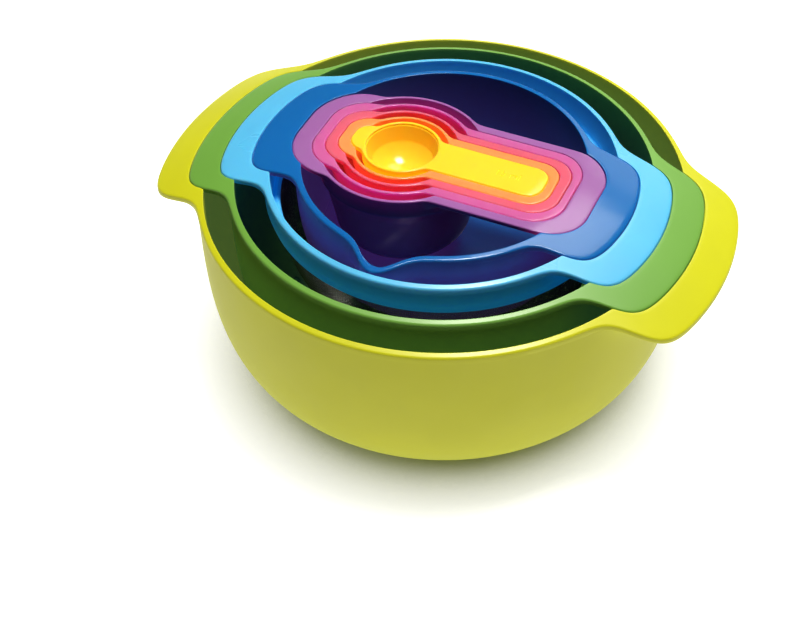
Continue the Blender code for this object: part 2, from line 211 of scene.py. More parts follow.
class Nodes:
    """Short names for adding and joining shader nodes."""

    def __init__(self, name):
        self.material = bpy.data.materials.new(name)
        self.material.use_nodes = True
        self.tree = self.material.node_tree
        self.shader = self.tree.nodes["Principled BSDF"]

    def add(self, kind, **values):
        node = self.tree.nodes.new(kind)
        for key, value in values.items():
            if key in node.inputs:
                node.inputs[key].default_value = value
            else:
                setattr(node, key, value)
        return node

    def join(self, out, into):
        self.tree.links.new(out, into)

    def noise(self, scale, detail=2.0, stretch=(1, 1, 1)):
        place = self.add("ShaderNodeTexCoord")
        turn = self.add("ShaderNodeMapping")
        turn.inputs["Scale"].default_value = stretch
        noise = self.add("ShaderNodeTexNoise", Scale=scale, Detail=detail)
        self.join(place.outputs["Object"], turn.inputs["Vector"])
        self.join(turn.outputs["Vector"], noise.inputs["Vector"])
        return noise.outputs["Fac"]

    def spread(self, value, low, high, from_low=0.3, from_high=0.7):
        node = self.add("ShaderNodeMapRange")
        node.inputs["From Min"].default_value = from_low
        node.inputs["From Max"].default_value = from_high
        node.inputs["To Min"].default_value = low
        node.inputs["To Max"].default_value = high
        self.join(value, node.inputs["Value"])
        return node.outputs["Result"]

    def mix(self, factor, a, b):
        node = self.add("ShaderNodeMix", data_type="RGBA")
        for socket, colour in ((6, a), (7, b)):
            if isinstance(colour, tuple):
                node.inputs[socket].default_value = (*colour, 1)
            else:
                self.join(colour, node.inputs[socket])
        self.join(factor, node.inputs[0])
        return node.outputs[2]

    def sum(self, a, b, operation="ADD"):
        node = self.add("ShaderNodeMath", operation=operation)
        self.join(a, node.inputs[0])
        self.join(b, node.inputs[1])
        return node.outputs[0]


def plastic(name, colour, roughness=0.30, specular=0.5, glow=0.0, depth=4 * MM,
            painted_glow=(0, 0, 0), reach=60 * MM, wall=1.0):
    """Moulded polypropylene: faint flow clouds, slow waves, fine grain, hairlines, worn edges.

    glow is how much of the light goes into the plastic, and depth is how far it goes.
    The emission is a painted glow in the given colour, seen where a surface has
    something else within reach of it; it stands in for light through the thin walls.
    The wall factor is painted shade: it darkens the upright faces beside the level
    ones, which are a little more matt as well.
    """
    n = Nodes(name)
    deep = tuple(c * 0.96 for c in colour)
    pale = tuple(min(1.0, c * 1.02) for c in colour)
    cloud = n.mix(n.spread(n.noise(22, 3), 0, 1), deep, pale)
    worn = tuple(min(1.0, c * 1.08 + 0.01) for c in colour)
    geometry = n.add("ShaderNodeNewGeometry")
    edge = n.spread(geometry.outputs["Pointiness"], 0, 0.30, 0.53, 0.60)
    facing = n.add("ShaderNodeSeparateXYZ")
    n.join(geometry.outputs["Normal"], facing.inputs["Vector"])
    # painted shade: the base colour darkens on upright faces by the wall factor
    shade = n.add("ShaderNodeVectorMath", operation="SCALE")
    n.join(n.mix(edge, cloud, worn), shade.inputs[0])
    n.join(n.spread(facing.outputs["Z"], wall, 1.0, 0.1, 0.7), shade.inputs["Scale"])
    n.join(shade.outputs["Vector"], n.shader.inputs["Base Color"])
    hairlines = n.spread(n.noise(14, 3, (1, 40, 1)), 0, 0.012, 0.60, 0.72)
    base = n.spread(n.noise(30, 2), roughness - 0.02, roughness + 0.03)
    matt = n.spread(facing.outputs["Z"], UPRIGHT_MATT, 0.0, 0.2, 0.9)
    n.join(n.sum(n.sum(base, hairlines), matt), n.shader.inputs["Roughness"])
    waves = n.add("ShaderNodeBump", Strength=0.5, Distance=WAVE_DEPTH)
    n.join(n.noise(38, 1), waves.inputs["Height"])
    grain = n.add("ShaderNodeBump", Strength=0.25, Distance=GRAIN_DEPTH)
    n.join(n.noise(900, 2), grain.inputs["Height"])
    n.join(waves.outputs["Normal"], grain.inputs["Normal"])
    n.join(grain.outputs["Normal"], n.shader.inputs["Normal"])
    n.shader.inputs["Specular IOR Level"].default_value = specular
    n.shader.inputs["IOR"].default_value = PLASTIC_IOR
    n.shader.inputs["Subsurface Weight"].default_value = glow
    radius = [max(c / max(colour), 0.05) for c in colour]
    n.shader.inputs["Subsurface Radius"].default_value = radius
    n.shader.inputs["Subsurface Scale"].default_value = depth
    # painted glow: emission grows where another surface is within reach, standing in for light through the
    # thin walls and into the gaps
    near = n.add("ShaderNodeAmbientOcclusion", Distance=reach)
    near.samples = 6
    n.join(n.spread(near.outputs["AO"], 1.0, 0.0, 0.20, 0.80), n.shader.inputs["Emission Strength"])
    n.shader.inputs["Emission Color"].default_value = (*painted_glow, 1.0)
    return n.material


def steel():
    """Drawn stainless wire, a little dull, with darker and paler clouds."""
    n = Nodes("stainless_wire")
    tone = n.mix(n.spread(n.noise(60, 3), 0, 1), WIRE_DARK, WIRE_PALE)
    n.join(tone, n.shader.inputs["Base Color"])
    n.join(n.spread(n.noise(500, 2), 0.30, 0.45), n.shader.inputs["Roughness"])
    n.shader.inputs["Metallic"].default_value = 1.0
    return n.material


def grip(name, colour):
    """Soft non-slip ring: matt, with a fine grain."""
    n = Nodes(name)
    deep = tuple(c * 0.8 for c in colour)
    n.join(n.mix(n.spread(n.noise(120, 3), 0, 1), deep, colour), n.shader.inputs["Base Color"])
    n.join(n.spread(n.noise(900, 2), 0.62, 0.80), n.shader.inputs["Roughness"])
    bump = n.add("ShaderNodeBump", Strength=0.35, Distance=0.08 * MM)
    n.join(n.noise(1800, 2), bump.inputs["Height"])
    n.join(bump.outputs["Normal"], n.shader.inputs["Normal"])
    return n.material


# ---- mesh helpers -------------------------------------------------------------------------
def new_object(name, points, faces, material, smooth_deg=None):
    mesh = bpy.data.meshes.new(name)
    mesh.from_pydata(points.tolist(), [], faces)
    mesh.validate()
    mesh.materials.append(material)
    mesh.shade_smooth()
    if smooth_deg:
        mesh.set_sharp_from_angle(angle=math.radians(smooth_deg))
    obj = bpy.data.objects.new(name, mesh)
    bpy.context.scene.collection.objects.link(obj)
    return obj


def loft_faces(rings, count, first=0):
    """Quads between neighbouring rings of count points each."""
    faces = []
    for ring in range(rings - 1):
        low = first + ring * count
        for i in range(count):
            j = (i + 1) % count
            faces.append((low + i, low + j, low + count + j, low + count + i))
    return faces


def closed_body(name, rings, material, smooth_deg=40):
    """Body of revolution-like rings whose first and last rings close on a middle point."""
    count = len(rings[0])
    start = rings[0].mean(0)
    end = rings[-1].mean(0)
    points = np.vstack(rings + [start[None], end[None]])
    faces = loft_faces(len(rings), count)
    head = len(rings) * count
    last = (len(rings) - 1) * count
    for i in range(count):
        j = (i + 1) % count
        faces.append((head, j, i))
        faces.append((last + i, last + j, head + 1))
    return new_object(name, points, faces, material, smooth_deg)


def looped_body(name, rings, material, smooth_deg=40):
    """Ring-shaped body: the last ring joins the first."""
    count = len(rings[0])
    points = np.vstack(rings)
    faces = loft_faces(len(rings), count)
    last = (len(rings) - 1) * count
    for i in range(count):
        j = (i + 1) % count
        faces.append((last + i, last + j, j, i))
    return new_object(name, points, faces, material, smooth_deg)


# ---- plan shapes --------------------------------------------------------------------------
def softmin(a, b, soft):
    """The smaller of two values, rounded off where they meet."""
    low = np.minimum(a, b)
    return low - soft * np.log(np.exp((low - a) / soft) + np.exp((low - b) / soft))


def dome_z(x, y):
    """Height of the shared dome: a paraboloid with a level crown."""
    rise = DOME_RISE * (1.0 - (x * x + y * y) / RADIUS["large"] ** 2)
    return RIM_Z + softmin(rise, CROWN, CROWN_BLEND)


def bowl_angles():
    """Angles round a bowl, close together at the handles' sides and at the spout."""
    steps = []
    degree = 0.0
    while degree < 360.0:
        steps.append(degree)
        at_side = any(low <= degree % 180.0 < high for low, high in SIDE_ZONES)
        at_spout = SPOUT_ZONE[0] <= degree < SPOUT_ZONE[1]
        degree += FINE_STEP if at_side or at_spout else COARSE_STEP
    return np.radians(steps)


def bowl_outline(key, ring, angles):
    """Radius of a bowl's outer edge: a ring that swells into two handles."""
    deg = np.abs(np.degrees(np.arctan2(np.sin(angles), np.cos(angles))))
    deg = np.minimum(deg, 180.0 - deg)
    reach = (deg - HALF_DEG[key]) / SOFT_DEG[key]
    return ring + (TIPS[key] - ring) / (1.0 + np.exp(reach))


def spout_bulge(angles):
    turn = np.degrees(np.arctan2(np.sin(angles), np.cos(angles))) + 90.0
    return SPOUT_OUT * np.exp(-(turn / SPOUT_DEG) ** 2)


def rounded_box(x, y, x0, x1, half, corner):
    """Signed distance to a rectangle with rounded corners, centred on the X axis."""
    qx = np.abs(x - 0.5 * (x0 + x1)) - 0.5 * (x1 - x0) + corner
    qy = np.abs(y) - half + corner
    outside = np.hypot(np.maximum(qx, 0), np.maximum(qy, 0))
    return outside + np.minimum(np.maximum(qx, qy), 0) - corner


def cup_distance(cup, x, y):
    """Signed distance to a cup's outline: a circle with a long handle and a short tab."""
    ring = np.hypot(x - CUP_X, y) - (cup["radius"] + CUP_LIP)
    handle = rounded_box(x, y, CUP_X, cup["right"], cup["half"], cup["corner"])
    tab = rounded_box(x, y, cup["left"], CUP_X, cup["left_half"], cup["left_corner"])
    return softmin(softmin(ring, handle, CUP_SOFT), tab, CUP_SOFT)


def cup_outline(cup, centre_x, angles, offset):
    """Radius from a point on the X axis to a cup's outline grown by offset."""
    inside = np.zeros(len(angles))
    outside = np.full(len(angles), RADIUS["large"])
    for _ in range(40):
        middle = 0.5 * (inside + outside)
        x = centre_x + middle * np.cos(angles)
        within = cup_distance(cup, x, middle * np.sin(angles)) < offset
        inside = np.where(within, middle, inside)
        outside = np.where(within, outside, middle)
    return inside


def handle_rounding(reach, run, radius):
    """Rounding of the lower edge, which fades out where there is no handle."""
    return radius * np.clip(reach / run, 0, 1)


# ---- the section of a vessel --------------------------------------------------------------
class Vessel:
    """Rings of one vessel. Radii are arrays over the angles, from the vessel's own centre."""

    def __init__(self, centre_x, angles, rim, outline, seat, step):
        self.centre_x = centre_x
        self.angles = angles
        self.cos = np.cos(angles)
        self.sin = np.sin(angles)
        self.rim = rim
        self.outline = outline
        self.seat = np.maximum(rim, seat)
        self.step = step
        self.rings = []
        edge = self.plan(outline)
        along = np.roll(edge, -1, 0) - np.roll(edge, 1, 0)
        out = np.stack([along[:, 1], -along[:, 0]], 1)
        self.out = out / np.linalg.norm(out, axis=1)[:, None]
        self.edge = edge

    def plan(self, radius):
        return np.stack([self.centre_x + radius * self.cos, radius * self.sin], 1)

    def put(self, flat, drop):
        """Adds a ring of plan points at a depth under the dome."""
        z = dome_z(flat[:, 0], flat[:, 1]) + self.step - drop
        self.rings.append(np.column_stack([flat, z]))

    def put_level(self, radius, z):
        """Adds a ring at a level height."""
        flat = self.plan(radius)
        self.rings.append(np.column_stack([flat, np.broadcast_to(z, len(flat))]))

    def offset(self, inward):
        """The outline moved inward by a distance measured square to it."""
        return self.edge - self.out * inward

    def rim_z(self):
        return float(dome_z(self.centre_x + self.rim[0], 0.0) + self.step)

    def recess(self, depth):
        """Recess floor, its step up to the top surface, and the rounded lip."""
        small = SHUT_STEP * np.clip(1.0 - (self.seat - self.rim) / MM, 0, 1)
        soft = RECESS_SOFT
        self.put(self.plan(self.rim), depth + soft)
        self.put(self.plan(np.minimum(self.rim + soft, self.seat)), depth + small)
        self.put(self.plan(np.maximum(self.rim, self.seat - soft)), depth - small)
        self.put(self.plan(self.seat), depth - soft)
        for turn in (0, 30, 60, 90):
            angle = math.radians(turn)
            reach = INNER_EDGE_R * (1 - math.cos(angle))
            self.put(self.plan(self.seat + reach), INNER_EDGE_R * (1 - math.sin(angle)))

    def top(self, edge_r, shares=(0.12, 0.3, 0.5, 0.7, 0.88)):
        """Top surface from the lip to the start of the outer edge's rounding."""
        start = self.plan(self.seat + INNER_EDGE_R)
        end = self.offset(edge_r)
        for share in shares:
            self.put(start + (end - start) * share, 0.0)

    def edge_round(self, edge_r, drop, under_r):
        """Outer edge: a quarter round, a short upright and a smaller quarter round below."""
        for turn in (0, 18, 36, 54, 72, 90):
            angle = math.radians(turn)
            inward = edge_r * (1 - math.sin(angle))
            self.put(self.offset(inward), edge_r * (1 - math.cos(angle)))
        for turn in (0, 30, 60, 90):
            angle = math.radians(turn)
            inward = under_r * (1 - math.cos(angle))
            flat = self.edge - self.out * inward[:, None]
            self.put(flat, drop - under_r * (1 - math.sin(angle)))

    def underside(self, wall, drop, under_r, deep, cove):
        """From the outer edge, under the recess, and round the cove into the wall."""
        start = self.edge - self.out * under_r[:, None]
        start_r = np.hypot(start[:, 0] - self.centre_x, start[:, 1])
        shelf = np.clip(self.seat + SHELF_OUT, wall, start_r)
        for share in (0.33, 0.66, 1.0):
            radius = start_r + (shelf - start_r) * share
            self.put(self.plan(radius), drop + (deep - drop) * share)
        inner = np.minimum(wall + cove, shelf)
        low = deep + SHELF_FALL
        self.put(self.plan(0.5 * (shelf + inner)), deep + 0.5 * SHELF_FALL)
        self.put(self.plan(inner), low)
        for turn in (18, 36, 54, 72, 90):
            angle = math.radians(turn)
            radius = wall + (inner - wall) * (1 - math.sin(angle))
            self.put(self.plan(radius), low + cove * (1 - math.cos(angle)))
        self.wall_start = low + cove


def superellipse(rim, base, fall, power, turn):
    """Radius and depth of a bowl's wall: turn runs from 0 at the floor to a quarter at the rim."""
    radius = base + (rim - base) * np.sin(turn) ** (2.0 / power)
    return radius, fall * np.cos(turn) ** (2.0 / power)


def hole_tool(points, faces, place, axis, wall):
    """Adds one drain hole's tool: a straight hole with a chamfer at both surfaces."""
    sides = 20
    past = 1.0 * MM
    wide = HOLE_R + HOLE_CHAMFER
    section = ((past, wide + past), (0.0, wide), (-HOLE_CHAMFER, HOLE_R),
               (HOLE_CHAMFER - wall, HOLE_R), (-wall, wide), (-wall - past, wide + past))
    turn = Vector((0, 0, 1)).rotation_difference(axis)
    first = len(points)
    for along, radius in section:
        for i in range(sides):
            angle = math.tau * i / sides
            spot = Vector((radius * math.cos(angle), radius * math.sin(angle), along))
            points.append(place + turn @ spot)
    for row in range(len(section) - 1):
        for i in range(sides):
            low = first + row * sides
            j = (i + 1) % sides
            faces.append((low + i, low + sides + i, low + sides + j, low + j))
    faces.append(tuple(range(first, first + sides)))
    last = first + (len(section) - 1) * sides
    faces.append(tuple(reversed(range(last, last + sides))))


def carve(obj, tool):
    """Takes the tool's shape out of the object for good, and removes the tool."""
    cut = obj.modifiers.new("carve", "BOOLEAN")
    cut.operation = "DIFFERENCE"
    cut.solver = "MANIFOLD"
    cut.object = tool
    bpy.context.view_layer.update()
    shaped = obj.evaluated_get(bpy.context.evaluated_depsgraph_get())
    mesh = bpy.data.meshes.new_from_object(shaped)
    obj.modifiers.clear()
    obj.data = mesh
    mesh.shade_smooth()
    mesh.set_sharp_from_angle(angle=math.radians(35))
    bpy.data.objects.remove(tool)


def drill(obj, key, top):
    """Cuts the rings of drain holes through a bowl's floor and lower wall."""
    points = []
    faces = []
    base, fall, power = BASE_R[key], DEPTH[key], ROUNDNESS[key]
    spots = [(radius, fall, number, Vector((0, 0, 1)), FLOOR_T[key]) for radius, number in FLOOR_HOLE_ROWS]
    for degree, number in WALL_HOLE_ROWS:
        turn = math.radians(degree)
        radius, depth = superellipse(RADIUS[key], base, fall, power, turn)
        next_r, next_depth = superellipse(RADIUS[key], base, fall, power, turn + 0.01)
        axis = Vector((next_depth - depth, 0, next_r - radius)).normalized()
        foot = base + FLOOR_T[key] * FOOT_SHARE
        out_r, out_depth = superellipse(RADIUS[key] + FLANGE, foot, fall + FLOOR_T[key], power, turn)
        wall = Vector((out_r - radius, 0, depth - out_depth)).dot(-axis)
        spots.append((radius, depth, number, axis, wall))
    for row, (radius, depth, number, axis, wall) in enumerate(spots):
        for i in range(number):
            around = Matrix.Rotation(math.tau * (i + 0.5 * (row % 2)) / number, 3, "Z")
            place = around @ Vector((radius, 0, top - depth))
            hole_tool(points, faces, place, around @ axis, wall)
    carve(obj, new_object("drain_tool", np.array(points), faces, obj.data.materials[0]))


def bowl(key, level, child_outline, material, name, bulge=False):
    """One bowl with two wing handles."""
    angles = bowl_angles()
    grow = spout_bulge(angles) if bulge else np.zeros(len(angles))
    radius = RADIUS[key]
    rim = radius + grow
    outline = bowl_outline(key, radius + FLANGE, angles) + grow
    vessel = Vessel(0.0, angles, rim, outline, child_outline(angles) + GAP, STEP * level)
    top = vessel.rim_z() if not bulge else float(dome_z(radius, 0.0) + STEP * level)
    under_r = handle_rounding(outline - grow - radius - FLANGE, HANDLE_RUN, UNDER_R)
    base, fall, power = BASE_R[key], DEPTH[key], ROUNDNESS[key]

    def wall_ring(turn, outer):
        """Wall ring at a turn; outer adds the wall's own thickness."""
        thick = FLANGE if outer else 0.0
        floor_t = FLOOR_T[key] if outer else 0.0
        foot = base + floor_t * FOOT_SHARE
        deep = fall + floor_t
        ring_r, depth = superellipse(radius + thick, foot, deep, power, turn)
        fade = np.clip(1.0 - depth / SPOUT_FALL, 0, 1) ** SPOUT_CURVE
        vessel.put_level(ring_r + grow * fade, top - depth)

    for share in FLOOR_SHARES:
        vessel.put_level(np.full(len(angles), base * share), top - fall)
    for degree in WALL_TURNS:
        wall_ring(np.full(len(angles), math.radians(degree)), False)
    vessel.recess(RECESS[key])
    vessel.top(EDGE_R)
    vessel.edge_round(EDGE_R, EDGE_DROP, under_r)
    wall = radius + FLANGE + grow
    vessel.underside(wall, EDGE_DROP, under_r, RECESS[key] + PLATE, COVE)
    start = np.arccos((vessel.wall_start / (fall + FLOOR_T[key])) ** (power / 2.0))
    for share in np.linspace(0.03, 1.0, OUTER_RINGS):
        wall_ring(np.full(len(angles), start * (1.0 - share)), True)
    foot = base + FLOOR_T[key] * FOOT_SHARE
    for share in reversed(FLOOR_SHARES):
        vessel.put_level(np.full(len(angles), foot * share), top - fall - FLOOR_T[key])
    obj = closed_body(name, vessel.rings, material)
    if key == "colander":
        drill(obj, key, top)
    return obj


def sieve_frame(material):
    """The sieve's plastic rim, handles and skirt, closed on itself round the wire bowl."""
    angles = bowl_angles()
    key = "sieve"
    radius = RADIUS[key]
    rim = np.full(len(angles), radius)
    outline = bowl_outline(key, radius + FLANGE, angles)
    seat = bowl_outline("small", RADIUS["small"] + FLANGE, angles) + GAP
    vessel = Vessel(0.0, angles, rim, outline, seat, STEP * 2)
    top = vessel.rim_z()
    under_r = handle_rounding(outline - radius - FLANGE, HANDLE_RUN, UNDER_R)
    flat = np.ones(len(angles))
    for depth, inward in INNER_FACE:
        vessel.put_level(flat * (radius - inward * MM), top - depth * MM)
    vessel.recess(RECESS[key])
    vessel.top(EDGE_R)
    vessel.edge_round(EDGE_R, EDGE_DROP, under_r)
    wall = flat * (radius + FLANGE)
    vessel.underside(wall, EDGE_DROP, under_r, RECESS[key] + PLATE, COVE)
    low = top - SKIRT
    outer = radius + SKIRT_T
    for depth, out in OUTER_FACE:
        vessel.put_level(flat * (outer + out * MM), top - depth * MM)
    for turn in (0, 30, 60, 90):
        angle = math.radians(turn)
        vessel.put_level(flat * (outer - SKIRT_R * (1 - math.cos(angle))),
                         low + SKIRT_R * (1 - math.sin(angle)))
    hem = MESH_R - HEM_IN
    for turn in (0, 30, 60, 90, 120, 150, 180):
        angle = math.radians(turn)
        vessel.put_level(flat * (hem + HEM_BULGE * (1 - math.sin(angle))),
                         low + HEM_HALF * (1 - math.cos(angle)))
    return looped_body("sieve_rim_moulding", vessel.rings, material)


# ---- cups ---------------------------------------------------------------------------------
def cup_angles():
    return np.radians(np.arange(0, 360, 1.0))


def spoon_inside(vessel, flat, radius, top):
    """The spoon's shallow round bottom, the crease round it and the tapered wall above."""
    ball = (SPOON_CREASE_R ** 2 + SPOON_CAP ** 2) / (2 * SPOON_CAP)
    edge = math.asin(SPOON_CREASE_R / ball)
    low = SPOON_CREASE_DEPTH + SPOON_CAP
    for share in (0.03, 0.15, 0.3, 0.45, 0.6, 0.75, 0.88, 0.96, 0.99):
        turn = edge * share
        vessel.put_level(flat * ball * math.sin(turn), top - low + ball * (1 - math.cos(turn)))
    for share in (0.01, 0.04, 0.3, 0.6, 0.85):
        ring_r = SPOON_CREASE_R + (radius - SPOON_CREASE_R) * share
        vessel.put_level(flat * ring_r, top - SPOON_CREASE_DEPTH * (1 - share))


def cup(name, child, material, piece):
    """One measuring cup with its handle and tab, or the spoon, which has no flat floor."""
    spec = CUPS[name]
    angles = cup_angles()
    flat = np.ones(len(angles))
    radius = spec["radius"]
    outline = cup_outline(spec, CUP_X, angles, 0.0)
    seat = cup_outline(CUPS[child], CUP_X, angles, GAP) if child else flat * 0.0
    vessel = Vessel(CUP_X, angles, flat * radius, outline, seat, spec["over"])
    top = RIM_Z + CROWN + spec["over"]
    recess = spec["recess"] + spec["over"] if child else SPOON_STEP
    depth, floor_r, fillet = spec["depth"], spec["floor_r"], spec["fillet"]
    if floor_r:
        for share in (0.05, 0.35, 0.7):
            vessel.put_level(flat * (floor_r - fillet) * share, top - depth)
        for turn in np.radians((0, 15, 30, 45, 60, 75, 90)):
            ring_r = floor_r - fillet * (1 - math.sin(turn))
            vessel.put_level(flat * ring_r, top - depth + fillet * (1 - math.cos(turn)))
        side = depth - fillet
        for share in (0.75, 0.5, 0.25):
            low = recess + (side - recess) * share
            vessel.put_level(flat * (radius + (floor_r - radius) * low / side), top - low)
    else:
        spoon_inside(vessel, flat, radius, top)
    vessel.recess(recess)
    vessel.top(CUP_EDGE_R)
    under_r = handle_rounding(outline - radius - CUP_LIP, CUP_HANDLE_RUN, CUP_UNDER_R)
    vessel.edge_round(CUP_EDGE_R, CUP_EDGE_DROP, under_r)
    deep = max(recess + CUP_PLATE, CUP_EDGE_DROP + CUP_FALL_LEAST)
    vessel.underside(flat * (radius + CUP_LIP), CUP_EDGE_DROP, under_r, deep, CUP_COVE)
    start = vessel.wall_start
    if floor_r:
        for share in (0.1, 0.25, 0.5, 0.75, 0.9):
            low = start + (side - start) * share
            thick = CUP_LIP + (CUP_WALL - CUP_LIP) * share
            vessel.put_level(flat * (radius + (floor_r - radius) * low / side + thick), top - low)
        for turn in np.radians((90, 75, 60, 45, 30, 15, 0)):
            ring_r = floor_r - fillet + (fillet + CUP_WALL) * math.sin(turn)
            low = depth - fillet + (fillet + CUP_WALL) * math.cos(turn)
            vessel.put_level(flat * ring_r, top - low)
        for share in (0.7, 0.35, 0.05):
            vessel.put_level(flat * (floor_r - fillet) * share, top - depth - CUP_WALL)
    else:
        full = depth + CUP_WALL
        first = math.degrees(math.acos(start / full))
        for turn in np.radians(np.linspace(first - 3, 2, 12)):
            vessel.put_level(flat * (radius + CUP_WALL) * math.sin(turn), top - full * math.cos(turn))
    return closed_body(piece, vessel.rings, material)


# ---- sieve mesh ---------------------------------------------------------------------------
class WireDome:
    """The wire bowl's middle surface, walked by arc length from its lowest point."""

    def __init__(self):
        turn = np.radians(np.linspace(0.0, 90.0, 400))
        inset = 0.5 * WIRE_D + MESH_CLEAR
        height = MESH_TOP - MESH_LAP - MESH_LOW
        self.r = (MESH_R - inset) * np.sin(turn) ** MESH_ROUNDNESS
        self.z = MESH_TOP - MESH_LAP - (height - inset) * np.cos(turn) ** MESH_ROUNDNESS
        self.r = np.append(self.r, MESH_R - inset)
        self.z = np.append(self.z, MESH_TOP - MESH_LAP + 1.0 * MM)
        steps = np.hypot(np.diff(self.r), np.diff(self.z))
        self.s = np.concatenate([[0.0], np.cumsum(steps)])
        self.length = self.s[-1]

    def at(self, u, v):
        """Points and outward normals for places on the flat sheet."""
        reach = np.hypot(u, v)
        turn = np.arctan2(v, u)
        r = np.interp(reach, self.s, self.r)
        z = np.interp(reach, self.s, self.z)
        ahead, behind = reach + 0.5 * MM, reach - 0.5 * MM
        dr = np.interp(ahead, self.s, self.r) - np.interp(behind, self.s, self.r)
        dz = np.interp(ahead, self.s, self.z) - np.interp(behind, self.s, self.z)
        size = np.maximum(np.hypot(dr, dz), 1e-9)
        points = np.stack([r * np.cos(turn), r * np.sin(turn), z], 1)
        normal = np.stack([dz / size * np.cos(turn), dz / size * np.sin(turn), -dr / size], 1)
        return points, normal


def wire(dome, across, index, flip):
    """Centre line of one wire of the weave, passing over and under at each crossing."""
    reach = math.sqrt(max(dome.length ** 2 - across ** 2, 0.0))
    last = int(reach / WIRE_PITCH)
    places = np.arange(-last, last + 1)
    along = places * WIRE_PITCH
    u, v = (along, np.full(len(along), across)) if flip else (np.full(len(along), across), along)
    points, normal = dome.at(u, v)
    side = np.where((places + index + (1 if flip else 0)) % 2, 1.0, -1.0)
    return points + normal * (side * 0.5 * WIRE_D)[:, None], normal


def wire_tube(centre, normal, first):
    """Four-sided tube along a wire: points and faces, numbered from first."""
    along = np.gradient(centre, axis=0)
    along /= np.linalg.norm(along, axis=1)[:, None]
    side = np.cross(along, normal)
    side /= np.linalg.norm(side, axis=1)[:, None]
    lift = np.cross(side, along)
    half = 0.5 * WIRE_D
    points = np.stack([centre + half * side, centre + half * lift,
                       centre - half * side, centre - half * lift], 1).reshape(-1, 3)
    faces = []
    for i in range(len(centre) - 1):
        low = first + 4 * i
        for k in range(4):
            j = (k + 1) % 4
            faces.append((low + k, low + j, low + 4 + j, low + 4 + k))
    end = first + 4 * (len(centre) - 1)
    faces.append((first + 3, first + 2, first + 1, first))
    faces.append((end, end + 1, end + 2, end + 3))
    return points, faces


def sieve_weave(material):
    """Both directions of wires over the whole wire bowl, as one piece."""
    dome = WireDome()
    count = int(dome.length / WIRE_PITCH)
    points = []
    faces = []
    first = 0
    for flip in (False, True):
        for index in range(-count, count + 1):
            centre, normal = wire(dome, index * WIRE_PITCH, index, flip)
            if len(centre) < 3:
                continue
            tube, tube_faces = wire_tube(centre, normal, first)
            points.append(tube)
            faces.extend(tube_faces)
            first += len(tube)
    return new_object("sieve_wire_weave", np.vstack(points), faces, material)


# ---- base rings and the spoon's mark ------------------------------------------------------
def base_ring(node, key, material):
    """Non-slip ring with rounded edges and shallow grooves in its underside."""
    low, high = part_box(node)
    outer = high.x
    inner = outer - RING_WIDTH[key]
    top = high.z + RING_LIFT
    angles = np.radians(np.arange(0, 360, 1.5))
    soft = RING_SOFT
    section = [(inner, top), (outer, top), (outer, low.z + soft), (outer - soft, low.z)]
    pitch = (outer - inner - 2 * soft) / (GROOVES + 0.5)
    for i in range(GROOVES):
        start = outer - soft - pitch * (i + 0.5)
        for reach, depth in GROOVE:
            section.append((start - pitch * reach, low.z + depth * MM))
    section.append((inner + soft, low.z))
    section.append((inner, low.z + soft))
    rings = [np.stack([r * np.cos(angles), r * np.sin(angles), np.full(len(angles), z)], 1)
             for r, z in section]
    return looped_body(key + "_bowl_grip", rings, material, 30)


def engrave(obj, text, size, place, depth):
    """Cuts lettering with upright sides down into a level face."""
    curve = bpy.data.curves.new("letters", "FONT")
    curve.body = text
    curve.size = size
    curve.extrude = depth
    curve.resolution_u = 6
    curve.align_x = "CENTER"
    curve.align_y = "CENTER"
    letters = bpy.data.objects.new("letters", curve)
    bpy.context.scene.collection.objects.link(letters)
    bpy.context.view_layer.update()
    mesh = bpy.data.meshes.new_from_object(letters.evaluated_get(bpy.context.evaluated_depsgraph_get()))
    bpy.data.objects.remove(letters)
    mesh.transform(Matrix.Translation(place))
    solid = bmesh.new()
    solid.from_mesh(mesh)
    bmesh.ops.remove_doubles(solid, verts=solid.verts, dist=1e-6)
    solid.to_mesh(mesh)
    solid.free()
    mesh.materials.clear()
    mesh.materials.append(obj.data.materials[0])
    tool = bpy.data.objects.new("letters_tool", mesh)
    bpy.context.scene.collection.objects.link(tool)
    carve(obj, tool)


# ---- camera, light, floor -----------------------------------------------------------------
IMAGE_WIDTH = 800
SENSOR = 36.0
LENS_PX = 1676.4            # focal length, in the units of the image's width
DISTANCE = 0.896            # from the middle of the large bowl's rim
ELEVATION = math.radians(39.94)
AZIMUTH = math.radians(23.57)
ROLL = math.radians(0.15)
SHIFT_X = -0.0575
AIM_OFF = (-0.000937, -0.082129)        # where the rim's centre lies, in focal lengths

# lights: place, target, size, power in watts, colour
OVERHEAD = ((0.11, 0.18, 1.48), (0, 0, 0.1), (0.46, 0.40), 20.6, (1.0, 0.97, 0.93))
WINDOW_UPPER = ((0.07, 0.96, 1.40), (0.1, 0, 0.12), (0.66, 0.56), 5.3, (1.0, 1.0, 1.0))
WINDOW_LOWER = ((0.10, 1.43, 0.85), (0.1, 0, 0.12), (0.66, 0.60), 1.8, (1.0, 1.0, 1.0))
WORLD_LIGHT = 0.04
FLOOR_HALF = 6.0
FLOOR_Z = -0.1 * MM
FLOOR_GLOW = 0.88           # keeps the floor white away from the object
SHADOW_REACH = 0.075        # how near the object has to be for the floor to lose its glow, which paints a shadow round it
